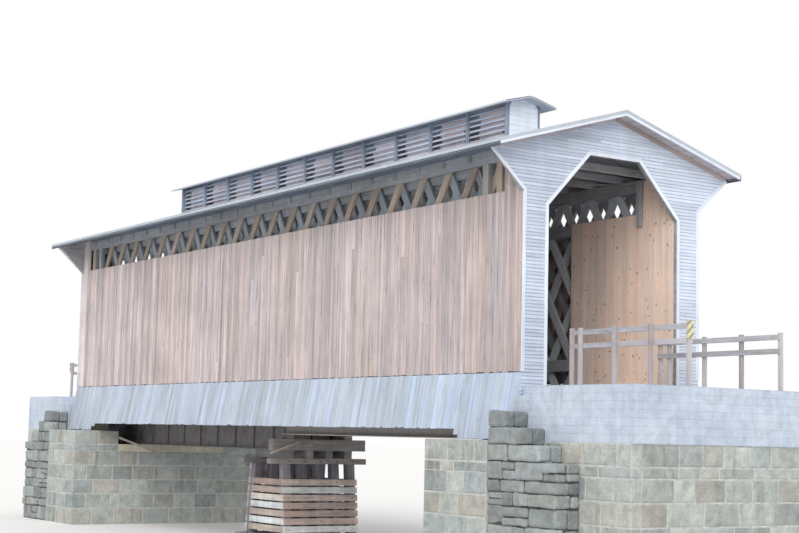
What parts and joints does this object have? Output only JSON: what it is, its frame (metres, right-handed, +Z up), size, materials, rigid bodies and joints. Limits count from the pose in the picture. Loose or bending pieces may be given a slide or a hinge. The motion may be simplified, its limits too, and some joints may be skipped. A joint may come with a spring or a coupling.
{
  "type": "timber covered railway bridge",
  "caption": "Covered lattice-truss timber bridge with vertical side boarding, flared portals, louvered ridge cupola, steel girders under the floor, timber pier, stone abutments and railings.",
  "frame": {"origin": "middle of the bridge in plan, on the ground under the abutments and the pier", "axes": "+X along the bridge, +Y across it away from the front side, +Z up"},
  "size_m": [39.9, 8.82, 14.0618],
  "materials": {
    "squared_stone": "rough squared stonework with pale mortar",
    "rubble_stone": "dry rubble",
    "concrete": "weathered concrete",
    "girder_steel": "dull rusted paint",
    "dark_timber": "rough weathered",
    "pier_timber": "rough weathered",
    "pier_slats": "rough weathered",
    "deck_timber": "worn",
    "truss_timber": "rough sawn",
    "siding_boards": "weathered vertical boards",
    "skirt_boards": "silvered vertical boards",
    "clapboards": "silvered clapboards",
    "trim_boards": "pale weathered boards",
    "louver_boards": "silvered boards",
    "new_timber": "knotty boards",
    "railing_timber": "weathered",
    "roof_sheet": "dull seamed sheet",
    "marker_paint": "flat striped paint"
  },
  "bodies": {
    "root": {"left_abutment": "squared_stone", "right_abutment": "squared_stone", "left_wing_walls": "concrete", "right_wing_walls": "concrete", "rubble_walls": "rubble_stone", "bearings": "new_timber", "pier_sills": "pier_timber", "pier_posts": "pier_timber", "pier_slats": "pier_slats", "pier_caps": "dark_timber", "left_girders": "girder_steel", "right_girders": "girder_steel", "floor_beams": "dark_timber", "deck_stringers": "dark_timber", "deck_planks": "deck_timber", "front_bottom_chords": "truss_timber", "front_top_chords": "truss_timber", "back_bottom_chords": "truss_timber", "back_top_chords": "truss_timber", "front_outer_lattice": "truss_timber", "front_inner_lattice": "truss_timber", "back_inner_lattice": "truss_timber", "back_outer_lattice": "truss_timber", "truss_end_posts": "truss_timber", "front_siding": "siding_boards", "back_siding": "siding_boards", "front_skirt": "skirt_boards", "back_skirt": "skirt_boards", "left_portal": "clapboards", "right_portal": "clapboards", "portal_trim": "trim_boards", "portal_linings": "new_timber", "tie_beams": "dark_timber", "lateral_braces": "dark_timber", "wall_plates": "dark_timber", "rafters": "dark_timber", "ridge_frame": "dark_timber", "front_roof": "roof_sheet", "back_roof": "roof_sheet", "eaves": "trim_boards", "cupola_posts": "trim_boards", "cupola_louvers": "louver_boards", "cupola_gables": "clapboards", "cupola_roof": "roof_sheet", "railings": "railing_timber", "marker_plates": "marker_paint"}
  },
  "joints": []
}
